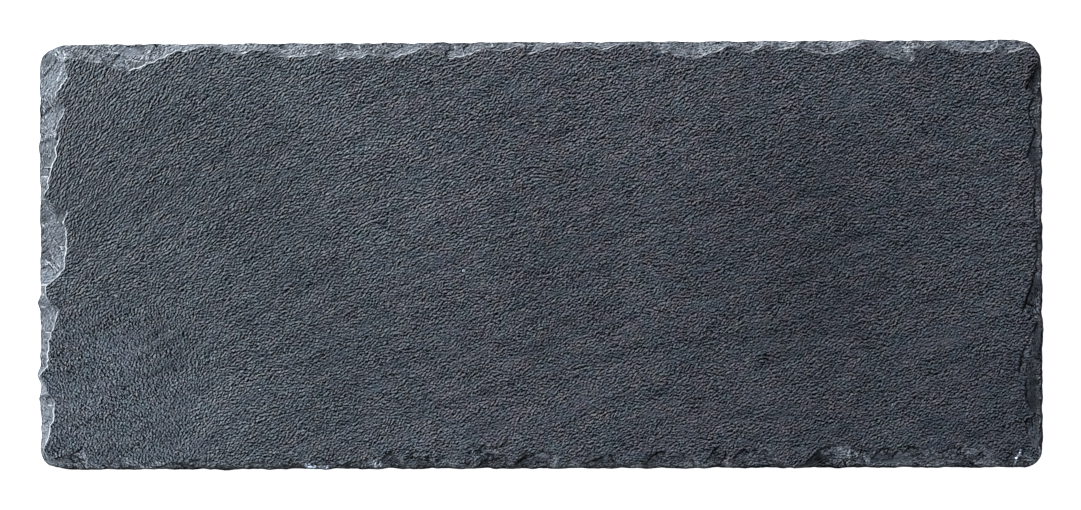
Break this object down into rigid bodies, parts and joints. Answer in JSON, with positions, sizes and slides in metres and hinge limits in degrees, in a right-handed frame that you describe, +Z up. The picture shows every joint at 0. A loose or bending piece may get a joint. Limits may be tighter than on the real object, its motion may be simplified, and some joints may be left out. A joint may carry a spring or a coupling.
{
  "type": "slate slab",
  "caption": "Thin rectangular slate slab with a flat riven top face and hand-chipped edges, lying flat.",
  "frame": {"origin": "middle of the underside's bounding rectangle, on the surface the slab lies on", "axes": "+X along the slab's length, +Y along its width towards the back edge, +Z up out of the riven top face"},
  "size_m": [0.28, 0.12, 0.005],
  "materials": {
    "riven_slate": "Matt blue-grey slate, split along its grain into fine slanting ripples. The chips along the edges are a lighter grey fresh break."
  },
  "bodies": {
    "root": {"slate_slab": "riven_slate"}
  },
  "joints": []
}
